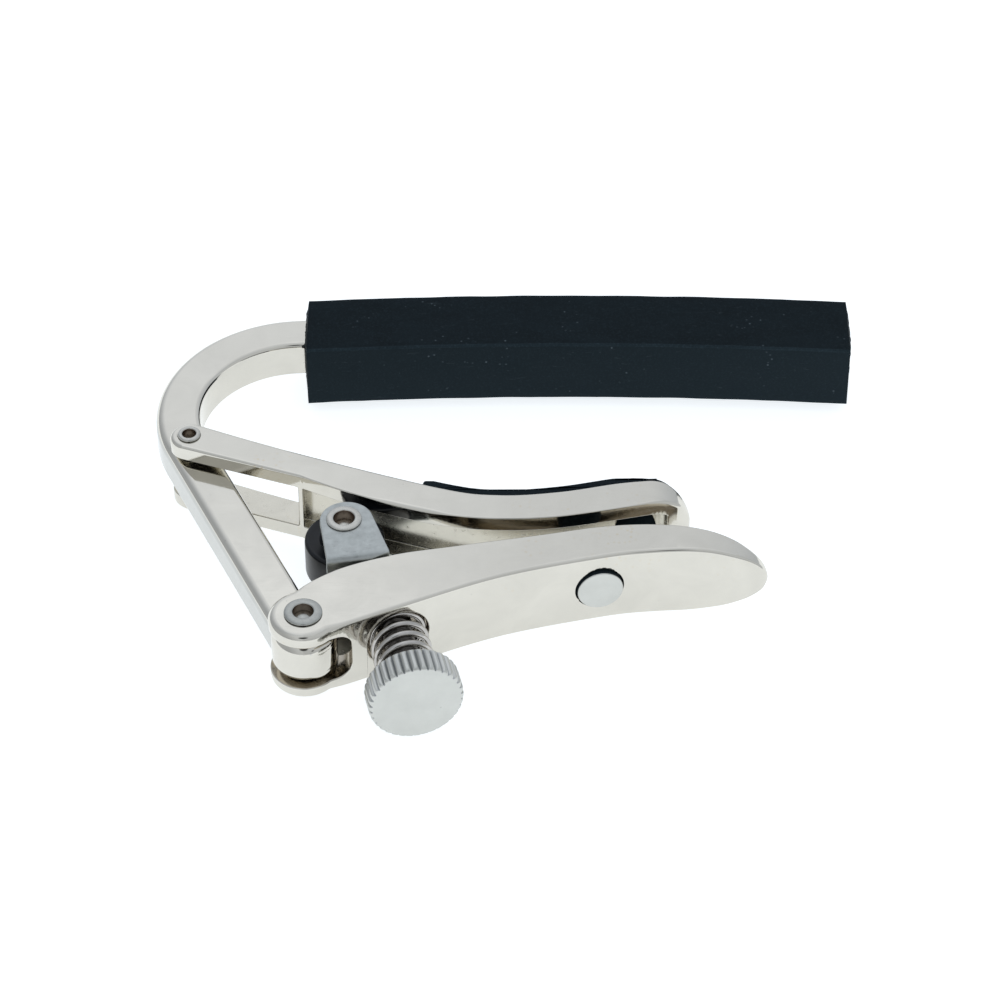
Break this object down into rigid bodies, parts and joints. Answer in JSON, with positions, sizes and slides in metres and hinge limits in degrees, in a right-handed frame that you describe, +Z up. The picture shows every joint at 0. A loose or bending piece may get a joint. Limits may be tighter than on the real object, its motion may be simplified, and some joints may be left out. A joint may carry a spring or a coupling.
{
  "type": "guitar capo",
  "caption": "Lever-operated guitar capo: rubber-sleeved string bar, hinged neck arm, over-centre lever with roller and adjusting screw.",
  "frame": {"origin": "middle of the bottom of the bounding box, with the capo lying on its side", "axes": "+X along the string bar towards its free end, +Y from the lever towards the string bar, +Z up, along every pivot pin"},
  "size_m": [0.0898, 0.0724, 0.0122],
  "materials": {
    "polished_nickel": "polished nickel plate over brass, warm mirror finish with fine hairlines",
    "satin_steel": "dull zinc-plated pressed steel",
    "satin_knob": "satin plated, knurled edge and dull flat face",
    "spring_wire": "bright drawn wire and machined thread",
    "black_rubber": "matte blue-black rubber with dust specks",
    "black_nylon": "smooth black moulded nylon"
  },
  "bodies": {
    "bar": {"neck_bar": "polished_nickel", "rubber_sleeve": "black_rubber", "arm_rivet": "polished_nickel", "lever_rivet": "polished_nickel"},
    "arm": {"lower_arm": "polished_nickel", "arm_pad": "black_rubber"},
    "lever": {"lever": "polished_nickel", "bumper": "black_rubber", "bumper_rivet": "satin_knob", "spring": "spring_wire"},
    "bracket": {"roller_bracket": "satin_steel", "roller_pin": "satin_steel"},
    "roller": {"roller": "black_nylon"},
    "screw": {"screw": "spring_wire", "knob": "satin_knob"}
  },
  "joints": [
    {"name": "lever_swing", "type": "hinge", "parent": "bar", "child": "lever", "pos_m": [-0.02448, -0.02498, 0.0061], "axis": [0, 0, -1], "range_deg": [0, 150]},
    {"name": "arm_swing", "type": "hinge", "parent": "bar", "child": "arm", "pos_m": [-0.04007, 0.00732, 0.0061], "axis": [0, 0, -1], "range_deg": [0, 21.3]},
    {"name": "bracket_slide", "type": "slide", "parent": "lever", "child": "bracket", "axis": [-0.2164, 0.9763, 0], "range_m": [0, 0.00105], "deforming": ["spring"]},
    {"name": "knob_turn", "type": "hinge", "parent": "bracket", "child": "screw", "pos_m": [-0.01348, -0.02218, 0.0061], "axis": [-0.2164, 0.9763, 0], "range_deg": [0, 541]},
    {"name": "roller_spin", "type": "hinge", "parent": "bracket", "child": "roller", "pos_m": [-0.01997, -0.00878, 0.0061], "axis": [0, 0, 1], "continuous": true}
  ],
  "couplings": [
    {"joint": "arm_swing", "follows": "lever_swing", "ratio": 0.14},
    {"joint": "knob_turn", "follows": "bracket_slide", "rad_per_m": 8976}
  ]
}
